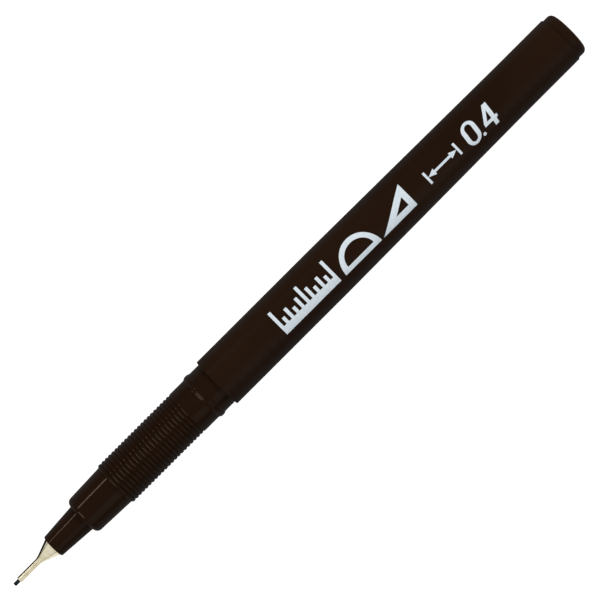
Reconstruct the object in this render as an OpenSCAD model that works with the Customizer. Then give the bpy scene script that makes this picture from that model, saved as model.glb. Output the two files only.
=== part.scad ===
// Technical pen: a fibre-tipped drawing pen with a metal-clad point, lying on its side.
// Each part is drawn upright on the writing point and then laid along X, so a height in a
// profile is a distance from the writing point. +X runs from the point to the end plug.

/* [Whole pen] */
// Length from the writing point to the face of the end plug
pen_length = 135; // [130:1:145]
// Diameter of the barrel where it is widest, along its front
barrel_d = 10; // [9.8:0.1:10.4]
// Diameter of the slimmer rear land, where a cap is posted
post_d = 9.3; // [9.2:0.05:9.5]

/* [Metal point] */
// Diameter of the fibre rod that writes
fibre_d = 0.68; // [0.6:0.02:0.72]
// Diameter of the flat on the fibre's end, which sets the line width
line_d = 0.4; // [0.3:0.05:0.5]
// Length of fibre that stands out of the metal tube
fibre_out = 1.15; // [0.8:0.05:1.4]
// Outer diameter of the metal tube
tube_d = 1.12; // [1.08:0.02:1.3]
// Length of the straight metal tube
tube_length = 4.75; // [3.5:0.05:5.5]
// Length of the metal cone that shows
cone_length = 3.4; // [3:0.1:4]
// Diameter of the metal cone where it enters the nose
cone_d = 3.7; // [3.5:0.1:3.8]

/* [Nose] */
// Length of the nose that shows
nose_length = 7.1; // [6:0.1:9]
// Diameter of the nose at its mouth
nose_front_d = 4.5; // [4.4:0.1:4.7]
// Diameter of the nose where it enters the grip
nose_rear_d = 5.44; // [5.3:0.02:5.6]

/* [Grip] */
// Length of the plain tapered collar
collar_length = 8.3; // [7:0.1:10]
// Diameter of the collar at its front
collar_front_d = 7.6; // [7.4:0.1:7.8]
// Diameter of the collar at the ribs
collar_rear_d = 8.14; // [7.9:0.02:8.3]
// Radius of the collar's front edge
collar_round = 1; // [0.4:0.05:1]
// Length of the grip from the collar to the cap bead
grip_length = 20.6; // [19.6:0.1:24]
// Diameter over the ribs and over the plain band behind them
grip_d = 8.76; // [8.5:0.02:8.9]
// Number of ribs
rib_count = 21; // [12:1:22]
// Distance from one rib to the next
rib_pitch = 0.784; // [0.7:0.002:0.8]
// Radius of a rib's rounded crest
rib_round = 0.46; // [0.44:0.01:0.6]
// Length of the bead that a cap snaps onto
bead_length = 1.8; // [1.4:0.1:2.2]
// Diameter over the cap bead
bead_d = 9.34; // [9.2:0.02:9.4]
// Length of the neck between the bead and the barrel
neck_length = 2.15; // [1.6:0.05:3]
// Diameter of the neck
neck_d = 8.92; // [8.8:0.02:9]

/* [Barrel and ink store] */
// Length of the barrel's straight front
front_land = 27; // [20:0.2:32]
// Length of the slimmer rear land
post_length = 10.8; // [8:0.2:14]
// Wall of the barrel at its rear end
barrel_wall = 0.8; // [0.6:0.05:0.9]
// Length of the grip's tail inside the barrel
tail_length = 8; // [6:0.5:10]
// Number of ribs inside the barrel that hold the ink store clear of the wall
inner_rib_count = 6; // [3:1:8]
// Diameter of the ink store over its film
store_d = 6.8; // [6:0.1:6.8]
// Thickness of the film round the ink store
film_t = 0.1; // [0.08:0.01:0.2]
// Diameter of the wick that feeds the fibre
wick_d = 2.2; // [1.8:0.1:2.4]

/* [End plug] */
// Length of the end plug that shows
plug_length = 2; // [1.8:0.1:4]
// Diameter of the end plug that shows
plug_d = 8.86; // [8.6:0.02:9]
// Radius of the end plug's rear edge
plug_round = 0.9; // [0.5:0.05:1.5]
// Length of the end plug's tail inside the barrel
plug_tail = 7.4; // [5:0.2:9]

/* [Hidden] */

$fn = 96;
gap = 0.02;                      // radial clearance of a close push fit
cut = 1;                         // how far a cutting shape runs past the face that it opens

brown = [0.14, 0.09, 0.06];
steel = [0.80, 0.77, 0.70];
ink_black = [0.07, 0.08, 0.10];
bush_white = [0.88, 0.87, 0.83];
wick_grey = [0.30, 0.31, 0.36];
film_blue = [0.70, 0.76, 0.82];

// Stations along the pen, as distances from the writing point
cone_at = fibre_out + tube_length;
nose_at = cone_at + cone_length;
collar_at = nose_at + nose_length;
ribs_at = collar_at + collar_length;
bead_at = ribs_at + grip_length;
neck_at = bead_at + bead_length;
barrel_at = neck_at + neck_length;
tail_end = barrel_at + tail_length;
barrel_end = pen_length - plug_length;
plug_tail_at = barrel_end - plug_tail;

// Metal point: sheet thickness, the bend from tube to cone, and the skirt inside the nose
sheet_t = 0.17;
bend_r = 3;
tube_rim = 0.06;
skirt_end = nose_at + 4;
fibre_bore_r = fibre_d / 2 + gap;

// Carrier: grips the fibre from inside the cone and cups the front of the wick
carrier_front = cone_at + 2.8;
carrier_front_r = 0.75;
carrier_r = 2.1;
carrier_end = nose_at + 15;
wick_at = carrier_end - 3;
wick_bore_r = wick_d / 2 + gap;
flute_count = 3;
flute_w = 0.5;
flute_floor_r = 1.4;

// Nose: rounded mouth, and a flange that seats behind a shoulder inside the grip
nose_round = 0.3;
flange_at = ribs_at - 0.5;
flange_end = flange_at + 2;
flange_r = 3.28;

// Grip: ribs between a short step and a plain band, a flat-topped bead, and fins round the wick
step_length = 0.2;
first_rib_at = ribs_at + step_length + rib_pitch;
rib_band_end = first_rib_at + rib_count * rib_pitch;
bead_top = 0.4;                  // flat that a cap's bore closes on
grip_bore_r = flange_r + gap;
tail_r = barrel_d / 2 - 0.9;
tail_lead = 0.4;
fin_count = 4;
fin_t = 0.6;
fins_at = carrier_end + 6;
fins_end = fins_at + 20;

// Barrel: mouth for the grip's tail, then a bore with ribs along the ink store
edge_round = 0.12;
bore_r = post_d / 2 - barrel_wall;
mouth_r = tail_r + gap;
mouth_end = tail_end + 0.6;
store_at = tail_end + 1;
store_end = plug_tail_at - 1;
inner_rib_w = 0.5;
inner_rib_turn = 0.3 * 360 / inner_rib_count;   // part of a step, so that no rib is straight below the axis

// Ink store
core_r = store_d / 2 - film_t - gap;
wick_end = store_at + 4;
wick_lead = 1;
wick_socket_end = wick_end + 0.4;

// End plug: hollow tail with crossed vanes that reach the ink store, and a moulding gate mark
plug_tail_r = bore_r - gap;
plug_hollow_r = plug_tail_r - 0.9;
plug_lead = 0.3;
plug_floor = 1.2;
vane_count = 4;
vane_t = 0.7;
gate_r = 1;
gate_depth = 0.2;

// Points on a smooth slope from radius r0 at station z0 to radius r1 at station z1
function slope(r0, z0, r1, z1, steps = 8) = [
    for (i = [0:steps])
        let (t = i / steps)
        [r0 + (r1 - r0) * (1 - cos(180 * t)) / 2, z0 + (z1 - z0) * t]
];

// Points on an arc of radius r about c, from angle a0 to a1
function arc(c, r, a0, a1, steps = 8) = [
    for (i = [0:steps])
        let (a = a0 + (a1 - a0) * i / steps)
        c + r * [cos(a), sin(a)]
];

// Lays an upright part along X, at rest on the barrel's widest part
module lay() {
    translate([-pen_length / 2, 0, barrel_d / 2])
        rotate([0, 90, 0])
            children();
}

// A cylinder from one station to another
module rod(from, to, r) {
    translate([0, 0, from])
        cylinder(h = to - from, r = r);
}

// A cone from one station to another
module taper(from, to, r_from, r_to) {
    translate([0, 0, from])
        cylinder(h = to - from, r1 = r_from, r2 = r_to);
}

// Bars of width w that stand out from the axis, from one station to another
module spokes(count, from, to, r_from, r_to, w) {
    for (i = [0:count - 1])
        rotate([0, 0, 360 * i / count])
            translate([r_from, -w / 2, from])
                cube([r_to - r_from, w, to - from]);
}

// Fibre rod with a rounded end, from the paper to the wick
module writing_point() {
    end_round = (fibre_d - line_d) / 2;
    round_c = [line_d / 2, end_round];
    color(ink_black) lay() rotate_extrude() polygon(concat(
        [[0, 0]],
        arc(round_c, end_round, -90, 0),
        [[fibre_d / 2, carrier_end], [0, carrier_end]]
    ));
}

// Drawn metal tube that flares into a cone, with a skirt inside the nose
module nib_sleeve() {
    flare = atan((cone_d - tube_d) / 2 / cone_length);
    bend_at = cone_at - bend_r * tan(flare / 2);
    bend_c = [tube_d / 2 + bend_r, bend_at];
    skirt_bore_r = cone_d / 2 - sheet_t;
    color(steel) lay() rotate_extrude() polygon(concat(
        [[fibre_bore_r, fibre_out], [tube_d / 2 - tube_rim, fibre_out], [tube_d / 2, fibre_out + tube_rim]],
        arc(bend_c, bend_r, 180, 180 - flare),
        [[cone_d / 2, nose_at], [cone_d / 2, skirt_end], [skirt_bore_r, skirt_end]],
        [[skirt_bore_r, nose_at + sheet_t], [fibre_bore_r, cone_at + sheet_t]]
    ));
}

// Plastic bush that fills the skirt; three flutes along it let air past
module nib_carrier() {
    skirt_fit_r = cone_d / 2 - sheet_t - gap;
    color(bush_white) lay() difference() {
        union() {
            taper(carrier_front, nose_at + sheet_t, carrier_front_r, skirt_fit_r - 0.05);
            rod(nose_at + sheet_t, skirt_end, skirt_fit_r);
            rod(skirt_end, carrier_end, carrier_r);
        }
        rod(carrier_front - cut, carrier_end + cut, fibre_bore_r);
        rod(wick_at, carrier_end + cut, wick_bore_r);
        spokes(
            flute_count, carrier_front - cut, carrier_end + cut,
            flute_floor_r, carrier_r + cut, flute_w
        );
    }
}

// Tapered nose that holds the metal point
module nose_cone() {
    round_c = [nose_front_d / 2 - nose_round, nose_at + nose_round];
    point_bore_r = cone_d / 2 + gap;
    color(brown) lay() difference() {
        rotate_extrude() polygon(concat(
            [[point_bore_r, nose_at]],
            arc(round_c, nose_round, -90, -2),
            [[nose_rear_d / 2, collar_at], [nose_rear_d / 2, flange_at], [flange_r, flange_at]],
            [[flange_r, flange_end], [point_bore_r, flange_end]]
        ));
        rod(skirt_end, flange_end + cut, carrier_r + gap);
    }
}

// Grip: collar, ribbed band, cap bead and neck, with a tail that plugs into the barrel
module grip_section() {
    color(brown) lay() difference() {
        union() {
            grip_shell();
            ribs();
        }
        rod(collar_at - cut, flange_at + cut, nose_rear_d / 2 + gap);
        difference() {
            rod(flange_at, tail_end + cut, grip_bore_r);
            spokes(fin_count, fins_at, fins_end, wick_bore_r, grip_bore_r + cut, fin_t);
        }
    }
}

// The grip's solid outline, with the ribbed band turned down to the bottom of the grooves
module grip_shell() {
    half_pitch = rib_pitch / 2;
    groove_r = grip_d / 2 - rib_round + sqrt(rib_round * rib_round - half_pitch * half_pitch);
    round_c = [collar_front_d / 2 - collar_round, collar_at + collar_round];
    bead_mid = bead_at + bead_length / 2;
    rotate_extrude() polygon(concat(
        [[0, collar_at]],
        arc(round_c, collar_round, -90, -2, 10),
        [[collar_rear_d / 2, ribs_at], [grip_d / 2, ribs_at + step_length]],
        [[groove_r, ribs_at + step_length], [groove_r, rib_band_end]],
        [[grip_d / 2, rib_band_end]],
        slope(grip_d / 2, bead_at, bead_d / 2, bead_mid - bead_top / 2),
        slope(bead_d / 2, bead_mid + bead_top / 2, neck_d / 2, neck_at),
        [[neck_d / 2, barrel_at], [tail_r, barrel_at]],
        [[tail_r, tail_end - tail_lead], [tail_r - tail_lead / 2, tail_end], [0, tail_end]]
    ));
}

// Ribs with round crests, side by side; the outer two blend into the step and the plain band
module ribs() {
    for (i = [-1:rib_count])
        translate([0, 0, first_rib_at + i * rib_pitch])
            rotate_extrude()
                translate([grip_d / 2 - rib_round, 0])
                    circle(r = rib_round);
}

// Porous rod that carries ink from the store to the fibre
module feeder_wick() {
    color(wick_grey) lay() difference() {
        union() {
            rod(wick_at, wick_end - wick_lead, wick_d / 2);
            taper(wick_end - wick_lead, wick_end, wick_d / 2, wick_d / 4);
        }
        rod(wick_at - cut, carrier_end + gap, fibre_bore_r);
    }
}

// Barrel tube: straight at the front, tapering to the land where a cap is posted
module barrel() {
    front_r = barrel_d / 2;
    rear_r = post_d / 2;
    front_c = [front_r - edge_round, barrel_at + edge_round];
    rear_c = [rear_r - edge_round, barrel_end - edge_round];
    color(brown) lay() difference() {
        rotate_extrude() polygon(concat(
            [[0, barrel_at]],
            arc(front_c, edge_round, -90, 0, 4),
            [[front_r, barrel_at + front_land], [rear_r, barrel_end - post_length]],
            arc(rear_c, edge_round, 0, 90, 4),
            [[0, barrel_end]]
        ));
        rod(barrel_at - cut, mouth_end, mouth_r);
        difference() {
            rod(mouth_end - cut, barrel_end + cut, bore_r);
            rotate([0, 0, inner_rib_turn])
                spokes(
                    inner_rib_count, store_at, store_end,
                    store_d / 2 + gap, bore_r + cut, inner_rib_w
                );
        }
    }
}

// Bundle of polyester fibre that holds the ink, with a socket for the wick
module reservoir_core() {
    color(ink_black) lay() difference() {
        rod(store_at, store_end, core_r);
        rod(store_at - cut, wick_socket_end, wick_bore_r);
    }
}

// Plastic film wrapped round the fibre bundle
module reservoir_film() {
    color(film_blue) lay() difference() {
        rod(store_at, store_end, store_d / 2);
        rod(store_at - cut, store_end + cut, store_d / 2 - film_t);
    }
}

// End plug: a rounded end that a tail holds in the barrel
module end_plug() {
    round_c = [plug_d / 2 - plug_round, pen_length - plug_round];
    color(brown) lay() difference() {
        union() {
            rotate_extrude() polygon(concat(
                [[0, plug_tail_at], [plug_tail_r - plug_lead, plug_tail_at]],
                [[plug_tail_r, plug_tail_at + plug_lead], [plug_tail_r, barrel_end]],
                [[plug_d / 2, barrel_end]],
                arc(round_c, plug_round, 0, 90, 12),
                [[0, pen_length]]
            ));
            rod(store_end, plug_tail_at + cut, plug_hollow_r);
        }
        difference() {
            rod(store_end - cut, barrel_end - plug_floor, plug_hollow_r);
            spokes(vane_count, store_end, barrel_end, -vane_t / 2, plug_hollow_r + cut, vane_t);
        }
        rod(pen_length - gate_depth, pen_length + cut, gate_r);
    }
}

writing_point();
nib_sleeve();
nib_carrier();
nose_cone();
grip_section();
feeder_wick();
barrel();
reservoir_core();
reservoir_film();
end_plug();
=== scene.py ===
import math

import bmesh
import bpy
from mathutils import Matrix, Vector


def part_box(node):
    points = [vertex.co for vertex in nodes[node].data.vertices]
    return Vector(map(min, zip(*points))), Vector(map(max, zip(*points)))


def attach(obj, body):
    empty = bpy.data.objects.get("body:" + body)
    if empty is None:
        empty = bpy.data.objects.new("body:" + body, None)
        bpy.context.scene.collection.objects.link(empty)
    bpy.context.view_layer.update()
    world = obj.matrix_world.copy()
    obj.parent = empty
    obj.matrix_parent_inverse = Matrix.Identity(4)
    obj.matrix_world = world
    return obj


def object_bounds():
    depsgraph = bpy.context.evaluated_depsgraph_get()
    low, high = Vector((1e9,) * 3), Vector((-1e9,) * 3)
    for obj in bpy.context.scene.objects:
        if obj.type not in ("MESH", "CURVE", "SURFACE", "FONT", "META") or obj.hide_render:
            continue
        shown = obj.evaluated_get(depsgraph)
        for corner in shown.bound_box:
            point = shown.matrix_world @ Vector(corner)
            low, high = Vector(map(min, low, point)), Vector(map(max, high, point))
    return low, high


# A technical pen that lies on a pale floor, seen from straight above.
# Everything is in metres in the CAD frame: +X runs from the writing point to the end plug.
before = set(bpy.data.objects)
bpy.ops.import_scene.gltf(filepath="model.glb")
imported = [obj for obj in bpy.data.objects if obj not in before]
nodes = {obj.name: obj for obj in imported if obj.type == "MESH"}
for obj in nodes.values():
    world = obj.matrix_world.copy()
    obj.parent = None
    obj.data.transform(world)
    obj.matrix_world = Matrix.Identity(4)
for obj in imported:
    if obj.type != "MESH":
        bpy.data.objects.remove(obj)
cad_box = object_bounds()

MM = 0.001

# ---------------------------------------------------------------- places taken from the frame
pen_low = cad_box[0]
barrel_low, barrel_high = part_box("barrel")
BARREL_R = (barrel_high.z - barrel_low.z) / 2
AXIS_Z = barrel_low.z + BARREL_R
TIP_X = pen_low.x


def station(mm_from_tip):
    """Place along X of a distance from the writing point, given in millimetres."""
    return TIP_X + mm_from_tip * MM


# ---------------------------------------------------------------- camera
CAMERA_DISTANCE = 530 * MM          # from the lens to the pen's axis
PICTURE_WIDTH = 103.45 * MM         # width of the picture at the pen's axis
PICTURE_CENTRE_X = 2.0 * MM         # the picture's centre is this far from the pen's middle
PEN_ANGLE = math.radians(44.95)     # how far the pen leans from the picture's horizontal
SENSOR_MM = 36.0


def make_camera():
    data = bpy.data.cameras.new("camera")
    data.sensor_width = SENSOR_MM
    data.lens = SENSOR_MM * CAMERA_DISTANCE / PICTURE_WIDTH
    data.clip_start = 0.05
    data.clip_end = 5.0
    camera = bpy.data.objects.new("camera", data)
    camera.location = (PICTURE_CENTRE_X, 0.0, AXIS_Z + CAMERA_DISTANCE)
    camera.rotation_euler = (0.0, 0.0, -PEN_ANGLE)
    bpy.context.scene.collection.objects.link(camera)
    bpy.context.scene.camera = camera


# ---------------------------------------------------------------- materials
NOISE_LOW, NOISE_HIGH = 0.35, 0.65  # most of a noise texture lies between these


class Shader:
    """A node material with one Principled shader, and short names for the nodes it needs."""

    def __init__(self, name):
        self.material = bpy.data.materials.new(name)
        self.material.use_nodes = True
        self.tree = self.material.node_tree
        self.principled = self.tree.nodes["Principled BSDF"]
        self.place = self.tree.nodes.new("ShaderNodeTexCoord").outputs["Object"]

    def set(self, **values):
        """Sets sockets of the Principled shader; an underscore in a name stands for a space."""
        for name, value in values.items():
            self.principled.inputs[name.replace("_", " ")].default_value = value

    def link(self, output, socket):
        self.tree.links.new(output, self.principled.inputs[socket])

    def stretched(self, scale):
        """The object's own coordinates, scaled by a different amount along each axis."""
        mapping = self.tree.nodes.new("ShaderNodeMapping")
        mapping.inputs["Scale"].default_value = scale
        self.tree.links.new(self.place, mapping.inputs["Vector"])
        return mapping.outputs["Vector"]

    def noise(self, per_metre, detail=3.0, stretch=(1, 1, 1)):
        """A noise with so many grains to the metre.

        A stretch below 1 draws the grains out along that axis, and above 1 it shortens them."""
        node = self.tree.nodes.new("ShaderNodeTexNoise")
        node.inputs["Scale"].default_value = per_metre
        node.inputs["Detail"].default_value = detail
        self.tree.links.new(self.stretched(stretch), node.inputs["Vector"])
        return node.outputs["Fac"]

    def between(self, noise, low, high, socket):
        """Runs a number or a colour from low to high as the noise rises."""
        ramp = self.tree.nodes.new("ShaderNodeMapRange")
        ramp.inputs["From Min"].default_value = NOISE_LOW
        ramp.inputs["From Max"].default_value = NOISE_HIGH
        self.tree.links.new(noise, ramp.inputs["Value"])
        if isinstance(low, tuple):
            mix = self.tree.nodes.new("ShaderNodeMix")
            mix.data_type = "RGBA"
            mix.inputs["A"].default_value = (*low, 1)
            mix.inputs["B"].default_value = (*high, 1)
            self.tree.links.new(ramp.outputs["Result"], mix.inputs["Factor"])
            self.link(mix.outputs["Result"], socket)
        else:
            ramp.inputs["To Min"].default_value = low
            ramp.inputs["To Max"].default_value = high
            self.link(ramp.outputs["Result"], socket)

    def bump(self, height, depth):
        node = self.tree.nodes.new("ShaderNodeBump")
        node.inputs["Strength"].default_value = 1.0
        node.inputs["Distance"].default_value = depth
        self.tree.links.new(height, node.inputs["Height"])
        self.link(node.outputs["Normal"], "Normal")


BROWN_DARK = (0.0150, 0.0061, 0.0026)
BROWN_LIGHT = (0.0198, 0.0086, 0.0038)
METAL_DARK = (0.60, 0.55, 0.38)
METAL_LIGHT = (0.72, 0.67, 0.50)


def brown_plastic(name, rough_low, rough_high, grain_depth):
    """Dark brown moulded plastic; a polished mould leaves it glossy and a fine grain leaves it satin."""
    shader = Shader(name)
    shader.set(IOR=1.46, Specular_IOR_Level=0.3)
    shader.between(shader.noise(90, stretch=(0.3, 1, 1)), BROWN_DARK, BROWN_LIGHT, "Base Color")
    shader.between(shader.noise(700), rough_low, rough_high, "Roughness")
    shader.bump(shader.noise(5200, detail=2), grain_depth)
    return shader.material


def point_metal():
    """Lightly polished metal, with faint marks that run round it."""
    shader = Shader("point_metal")
    shader.set(Metallic=1.0)
    marks = shader.noise(400, stretch=(3, 1, 1))
    shader.between(marks, METAL_DARK, METAL_LIGHT, "Base Color")
    shader.between(shader.noise(2500, stretch=(6, 1, 1)), 0.16, 0.26, "Roughness")
    shader.bump(shader.noise(3000, stretch=(8, 1, 1)), 0.002 * MM)
    return shader.material


def fibre(name, dark, light, stretch, roughness=0.75):
    """Fibre that runs along the pen, soaked with ink."""
    shader = Shader(name)
    shader.set(Roughness=roughness, Specular_IOR_Level=0.4)
    strands = shader.noise(6000, stretch=stretch)
    shader.between(strands, dark, light, "Base Color")
    shader.bump(strands, 0.03 * MM)
    return shader.material


def bush_plastic():
    """Natural white moulding."""
    shader = Shader("bush_plastic")
    shader.between(shader.noise(300), (0.66, 0.64, 0.58), (0.74, 0.72, 0.66), "Base Color")
    shader.between(shader.noise(900), 0.38, 0.5, "Roughness")
    shader.bump(shader.noise(4000), 0.003 * MM)
    return shader.material


def store_film():
    """Thin clear film with faint creases along the pen."""
    shader = Shader("store_film")
    shader.set(Alpha=0.35, IOR=1.45)
    streaks = shader.noise(500, stretch=(0.2, 1, 1))
    shader.between(streaks, (0.42, 0.47, 0.55), (0.60, 0.64, 0.70), "Base Color")
    shader.between(shader.noise(1500), 0.12, 0.3, "Roughness")
    shader.bump(shader.noise(900, stretch=(0.3, 1, 1)), 0.02 * MM)
    return shader.material


def print_ink():
    """Pale pad print, slightly uneven."""
    shader = Shader("print_ink")
    shader.set(Specular_IOR_Level=0.3)
    shader.between(shader.noise(2600), (0.70, 0.79, 0.86), (0.80, 0.87, 0.92), "Base Color")
    shader.between(shader.noise(1800), 0.42, 0.6, "Roughness")
    shader.bump(shader.noise(7000), 0.002 * MM)
    return shader.material


def dress(node, material):
    """Gives a node its material."""
    slots = nodes[node].material_slots
    for slot in slots:
        slot.material = material
    if not slots:
        nodes[node].data.materials.append(material)


# ---------------------------------------------------------------- print on the barrel
def barrel_profile():
    """The barrel's outline as (x, radius) stations, read from its outermost corners."""
    bore_share = 0.9                # the bore lies within this share of the barrel's radius
    widest = {}
    for vertex in nodes["barrel"].data.vertices:
        x = round(vertex.co.x, 5)
        radius = math.hypot(vertex.co.y, vertex.co.z - AXIS_Z)
        widest[x] = max(radius, widest.get(x, 0.0))
    return sorted((x, r) for x, r in widest.items() if r > bore_share * BARREL_R)


PROFILE = barrel_profile()


def barrel_radius(x):
    """The barrel's radius at a place along it."""
    for (x0, r0), (x1, r1) in zip(PROFILE, PROFILE[1:]):
        if x0 <= x <= x1:
            return r0 + (r1 - r0) * (x - x0) / (x1 - x0)
    return BARREL_R


def ring(centre, rx, ry, start=0.0, end=360.0, steps=40):
    """Points on an arc of an ellipse, in millimetres."""
    closed = abs(end - start) >= 360
    count = steps if closed else steps + 1
    return [
        (centre[0] + rx * math.cos(math.radians(start + (end - start) * i / steps)),
         centre[1] + ry * math.sin(math.radians(start + (end - start) * i / steps)))
        for i in range(count)
    ]


def stadium(centre, width, height):
    """An upright outline with round ends, in millimetres."""
    steps = 16
    r = width / 2
    lift = height / 2 - r
    top = ring((centre[0], centre[1] + lift), r, r, 0, 180, steps)
    return top + ring((centre[0], centre[1] - lift), r, r, 180, 360, steps)


def slanted(outline, baseline, degrees):
    """Leans an outline towards the end plug by this angle, with its baseline kept where it is."""
    lean = math.tan(math.radians(degrees))
    return [(u + (v - baseline) * lean, v) for u, v in outline]


PRINT_STEP_MM = 0.25                # widest strip of print between two cuts
PRINT_LIFT = 0.012 * MM             # how far the ink stands above the barrel
PRINT_DEPTH = 0.02 * MM             # the ink layer's whole thickness, with its foot in the surface


def print_piece(name, outlines, material):
    """Wraps flat outlines round the barrel as a thin layer of ink; an outline inside another is a hole.

    An outline is a list of (distance from the writing point, distance round the barrel), in
    millimetres, and the print's tops are towards +Y."""
    curve = bpy.data.curves.new(name, "CURVE")
    curve.dimensions = "2D"
    curve.fill_mode = "BOTH"
    for outline in outlines:
        spline = curve.splines.new("POLY")
        spline.points.add(len(outline) - 1)
        spline.use_cyclic_u = True
        for point, (u, v) in zip(spline.points, outline):
            point.co = (u, v, 0, 1)
    flat = bpy.data.objects.new(name + "_flat", curve)
    bpy.context.scene.collection.objects.link(flat)
    filled = flat.evaluated_get(bpy.context.evaluated_depsgraph_get()).to_mesh()
    bm = bmesh.new()
    bm.from_mesh(filled)
    flat.to_mesh_clear()
    bpy.data.objects.remove(flat)

    bmesh.ops.remove_doubles(bm, verts=bm.verts, dist=1e-5)
    heights = [v.co.y for v in bm.verts]
    low, tall = min(heights), max(heights) - min(heights)
    cuts = math.ceil(tall / PRINT_STEP_MM)
    for i in range(1, cuts):
        parts = bm.verts[:] + bm.edges[:] + bm.faces[:]
        place = (0, low + tall * i / cuts, 0)
        bmesh.ops.bisect_plane(bm, geom=parts, dist=1e-6, plane_co=place, plane_no=(0, 1, 0))
    for vertex in bm.verts:
        x = station(vertex.co.x)
        radius = barrel_radius(x) + PRINT_LIFT
        turn = vertex.co.y * MM / radius
        vertex.co = (x, radius * math.sin(turn), AXIS_Z + radius * math.cos(turn))
    bmesh.ops.recalc_face_normals(bm, faces=bm.faces)
    faces_down = sum(f.normal.z * f.calc_area() for f in bm.faces) < 0
    if faces_down:
        bmesh.ops.reverse_faces(bm, faces=bm.faces)
    bmesh.ops.solidify(bm, geom=bm.faces[:], thickness=PRINT_DEPTH)
    bmesh.ops.recalc_face_normals(bm, faces=bm.faces)

    mesh = bpy.data.meshes.new(name)
    bm.to_mesh(mesh)
    bm.free()
    mesh.materials.append(material)
    piece = bpy.data.objects.new(name, mesh)
    bpy.context.scene.collection.objects.link(piece)
    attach(piece, "barrel_unit")


def set_square(u, width, low, high):
    """A set square: a right triangle, upright at its right, with a smaller one cut out of it."""
    band = 1.15
    tall = high - low
    right = u + width
    slope = math.hypot(width, tall)
    inner_left = u + band * (slope + width) / tall
    inner_top = high - band * (slope + tall) / width
    outer = [(right, low), (u, low), (right, high)]
    inner = [(right - band, low + band), (inner_left, low + band), (right - band, inner_top)]
    return [outer, inner]


def protractor(u, radius, low):
    """A protractor: half a disc with a smaller half disc cut out of it."""
    band = 1.25
    base = 0.9
    rise = 1.08                     # height of the half disc against its radius
    middle = u + radius
    inner_r = radius - band
    outer = ring((middle, low), radius, radius * rise, 0, 180)
    inner = ring((middle, low + base), inner_r, inner_r * rise - base * 0.6, 0, 180)
    return [outer, inner]


def tick_share(i):
    """How far a graduation reaches, as a share of the longest: every fifth is long."""
    if i % 5 == 0:
        return 1.0
    return 0.35 if i % 2 else 0.6


def scale_rule(u, length, low, high):
    """A scale: a bar with short, middle and long graduations."""
    bar = 1.5
    ticks = 11
    pitch = length / (ticks - 0.5)
    tick = pitch * 0.5
    foot = low + bar
    outline = [(u, low), (u + length, low)]
    for i in reversed(range(ticks)):
        reach = foot + (high - foot) * tick_share(i)
        left = u + i * pitch
        outline += [(left + tick, foot), (left + tick, reach), (left, reach), (left, foot)]
    return [outline]


def dimension_line(left, right, middle, reach, line):
    """A dimension line: an arrow at each end, between two end strokes."""
    head = 1.5
    half_head = 0.62
    half_line = line / 2
    left_tip = left + line
    right_tip = right - line
    left_neck = left_tip + head
    right_neck = right_tip - head
    arrows = [
        (left_tip, middle), (left_neck, middle - half_head), (left_neck, middle - half_line),
        (right_neck, middle - half_line), (right_neck, middle - half_head), (right_tip, middle),
        (right_neck, middle + half_head), (right_neck, middle + half_line),
        (left_neck, middle + half_line), (left_neck, middle + half_head),
    ]
    low, high = middle - reach, middle + reach
    ends = [[(u, low), (u + line, low), (u + line, high), (u, high)] for u in (left, right_tip)]
    return [arrows] + ends


def line_width_figures(left, low, high):
    """The pen's line width, 0.4, in plain upright stencil figures that lean a little."""
    stroke = 0.8                    # width of upright strokes
    thin = 0.55                     # width of level strokes
    tall = high - low
    zero_width = 3.0
    zero = (left + zero_width / 2, low + tall / 2)
    dot = (left + 3.35, low + 0.3)
    dot_r = 0.32
    four = left + 4.1               # left end of the 4
    stem = four + 1.75              # left side of its upright
    stem_right = stem + stroke
    bar = low + tall * 0.24         # under side of its level bar
    bar_top = bar + thin
    bar_end = stem + 1.2
    outlines = [
        stadium(zero, zero_width, tall),
        stadium(zero, zero_width - 2 * stroke, tall - 2 * thin),
        ring(dot, dot_r, dot_r, steps=20),
        [(stem, low), (stem_right, low), (stem_right, bar), (bar_end, bar), (bar_end, bar_top),
         (stem_right, bar_top), (stem_right, high), (stem - 0.1, high), (four, bar_top), (four, bar),
         (stem, bar)],
        [(stem, bar_top), (stem, high - 1.1), (four + 0.75, bar_top)],
    ]
    return [slanted(outline, low, 7) for outline in outlines]


# ---------------------------------------------------------------- floor and light
def light_only(source, *objects):
    """Lets a lamp, or a surface that glows, light these objects and no others."""
    lit = bpy.data.collections.new(source.name + "_lights")
    for item in objects:
        lit.objects.link(item)
    source.light_linking.receiver_collection = lit


def make_floor():
    """A light table: a pale sheet that glows evenly, so that the pen's shadow hardly shows on it.

    Its glow is kept off the pen, whose sides then stay as dark as its top."""
    size = 3.0
    mesh = bpy.data.meshes.new("floor")
    mesh.from_pydata(
        [(-size, -size, 0), (size, -size, 0), (size, size, 0), (-size, size, 0)], [], [(0, 1, 2, 3)]
    )
    floor = bpy.data.objects.new("floor", mesh)
    floor.location.z = pen_low.z
    shader = Shader("floor")
    shader.set(Roughness=1.0, Specular_IOR_Level=0.0)
    shader.set(Emission_Color=(1, 1, 1, 1), Emission_Strength=1.0)
    shader.between(shader.noise(8), (0.16, 0.16, 0.16), (0.18, 0.18, 0.18), "Base Color")
    mesh.materials.append(shader.material)
    bpy.context.scene.collection.objects.link(floor)
    light_only(floor, floor, nodes["nib_sleeve"])


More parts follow.
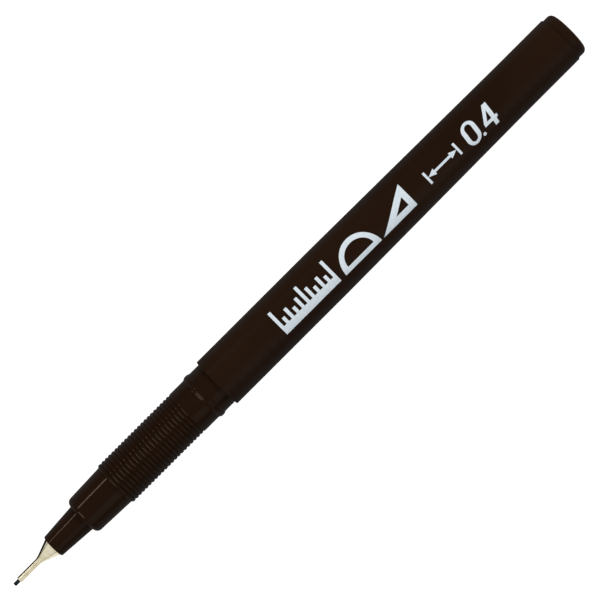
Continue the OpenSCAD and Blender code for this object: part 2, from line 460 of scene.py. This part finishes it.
def make_flag():
    """A black card beside the metal point, out of the camera's sight, that its far edge mirrors."""
    front_x, front_y = station(-3), 1.6 * MM
    back_x, back_y = station(9), 3.2 * MM
    low, high = 0.1 * MM, AXIS_Z + 0.7 * MM
    mesh = bpy.data.meshes.new("flag")
    mesh.from_pydata(
        [(front_x, front_y, low), (back_x, back_y, low), (back_x, back_y, high), (front_x, front_y, high)],
        [], [(0, 1, 2, 3)]
    )
    flag = bpy.data.objects.new("flag", mesh)
    shader = Shader("flag")
    shader.set(Base_Color=(0.01, 0.01, 0.01, 1), Roughness=1.0, Specular_IOR_Level=0.0)
    mesh.materials.append(shader.material)
    flag.visible_camera = False
    flag.visible_diffuse = False
    flag.visible_shadow = False
    bpy.context.scene.collection.objects.link(flag)


def soft_light(name, target_x, direction, distance, size, radiance, mirrored=True):
    """A rectangular lamp that faces a place on the pen's axis from a direction.

    A lamp that isn't mirrored lights the pen but makes no highlight on it."""
    data = bpy.data.lights.new(name, "AREA")
    data.shape = "RECTANGLE"
    data.size, data.size_y = size
    data.energy = radiance * math.pi * size[0] * size[1]
    lamp = bpy.data.objects.new(name, data)
    lamp.visible_camera = False
    lamp.visible_glossy = mirrored
    away = Vector(direction).normalized()
    side = away.cross(Vector((1, 0, 0))).normalized()
    turned = Matrix((side.cross(away), side, away)).transposed()
    place = Vector((target_x, 0, AXIS_Z)) + away * distance
    lamp.matrix_world = Matrix.Translation(place) @ turned.to_4x4()
    bpy.context.scene.collection.objects.link(lamp)
    return lamp


def make_world(strength):
    """An even white room, so that no side of the pen is quite black."""
    world = bpy.data.worlds.new("studio")
    world.use_nodes = True
    background = world.node_tree.nodes["Background"]
    background.inputs["Color"].default_value = (1, 1, 1, 1)
    background.inputs["Strength"].default_value = strength
    bpy.context.scene.world = world


# ---------------------------------------------------------------- making the scene
make_camera()

gloss = brown_plastic("brown_gloss", 0.10, 0.14, 0.00015 * MM)
satin = brown_plastic("brown_satin", 0.34, 0.42, 0.004 * MM)
dress("nose_cone", gloss)
dress("grip_section", gloss)
dress("barrel", satin)
dress("end_plug", satin)
dress("nib_sleeve", point_metal())
tip_fibre = fibre("writing_fibre", (0.004, 0.007, 0.008), (0.02, 0.03, 0.034), (0.1, 1, 1), roughness=0.5)
dress("writing_point", tip_fibre)
dress("nib_carrier", bush_plastic())
dress("feeder_wick", fibre("wick_fibre", (0.02, 0.02, 0.03), (0.07, 0.07, 0.09), (0.06, 1, 1)))
dress("reservoir_core", fibre("store_fibre", (0.006, 0.006, 0.010), (0.03, 0.03, 0.045), (0.03, 1, 1)))
dress("reservoir_film", store_film())

# The print's places are in millimetres: u from the writing point, low and high round the barrel.
ink = print_ink()
emblem_low, emblem_high = -2.78, 2.3
rule = scale_rule(u=63.8, length=13.1, low=emblem_low, high=emblem_high)
half_disc = protractor(u=78.1, radius=4.3, low=emblem_low)
triangle = set_square(u=87.2, width=8.1, low=emblem_low, high=emblem_high)
print_piece("print_emblem", rule + half_disc + triangle, ink)
arrow = dimension_line(left=99.4, right=107.0, middle=-0.7, reach=1.25, line=0.45)
print_piece("print_dimension", arrow, ink)
print_piece("print_line_width", line_width_figures(left=108.6, low=-2.66, high=1.7), ink)

make_floor()
make_flag()
make_world(strength=0.06)
FRONT = (-0.80, 0.24, 0.56)
REAR = (0.80, 0.24, 0.56)
WARM = (1.0, 0.84, 0.68)
KEY = {"distance": 0.7, "size": (0.4, 0.4), "radiance": 7, "mirrored": False}
soft_light("front_key", 0, FRONT, **KEY)
soft_light("rear_key", 0, REAR, **KEY)
soft_light("side_key", 0, (0, -0.85, 0.53), distance=0.8, size=(1.2, 0.4), radiance=0.9, mirrored=False)

# A lamp that only draws a thin highlight on the front of each rib.
rib_glint = soft_light("rib_glint", 0, (-0.80, 0.18, 0.56), distance=0.7, size=(0.25, 0.4), radiance=2.7)
rib_glint.visible_diffuse = False
rib_glint.data.color = WARM
light_only(rib_glint, nodes["grip_section"])

soft_light("side_fill", 0, (0, -0.75, 0.65), distance=0.8, size=(1.2, 0.5), radiance=0.15)

# A strip that is mirrored in the collar as a short bright line.
collar_strip = soft_light("collar_strip", station(20.5), (-0.19, 0.78, 0.60), distance=0.55,
                          size=(0.09, 0.028), radiance=9)
collar_strip.data.color = WARM

# Two lamps for the metal point alone.
point_left = soft_light("point_left", station(6), (-0.35, -0.77, 0.64), distance=0.5, size=(0.8, 0.5),
                        radiance=0.9)
point_right = soft_light("point_right", station(6), (-0.35, 0.46, 0.89), distance=0.5, size=(0.8, 0.9),
                         radiance=1.0)
light_only(point_left, nodes["nib_sleeve"])
light_only(point_right, nodes["nib_sleeve"])
bpy.context.scene.view_settings.view_transform = "Standard"
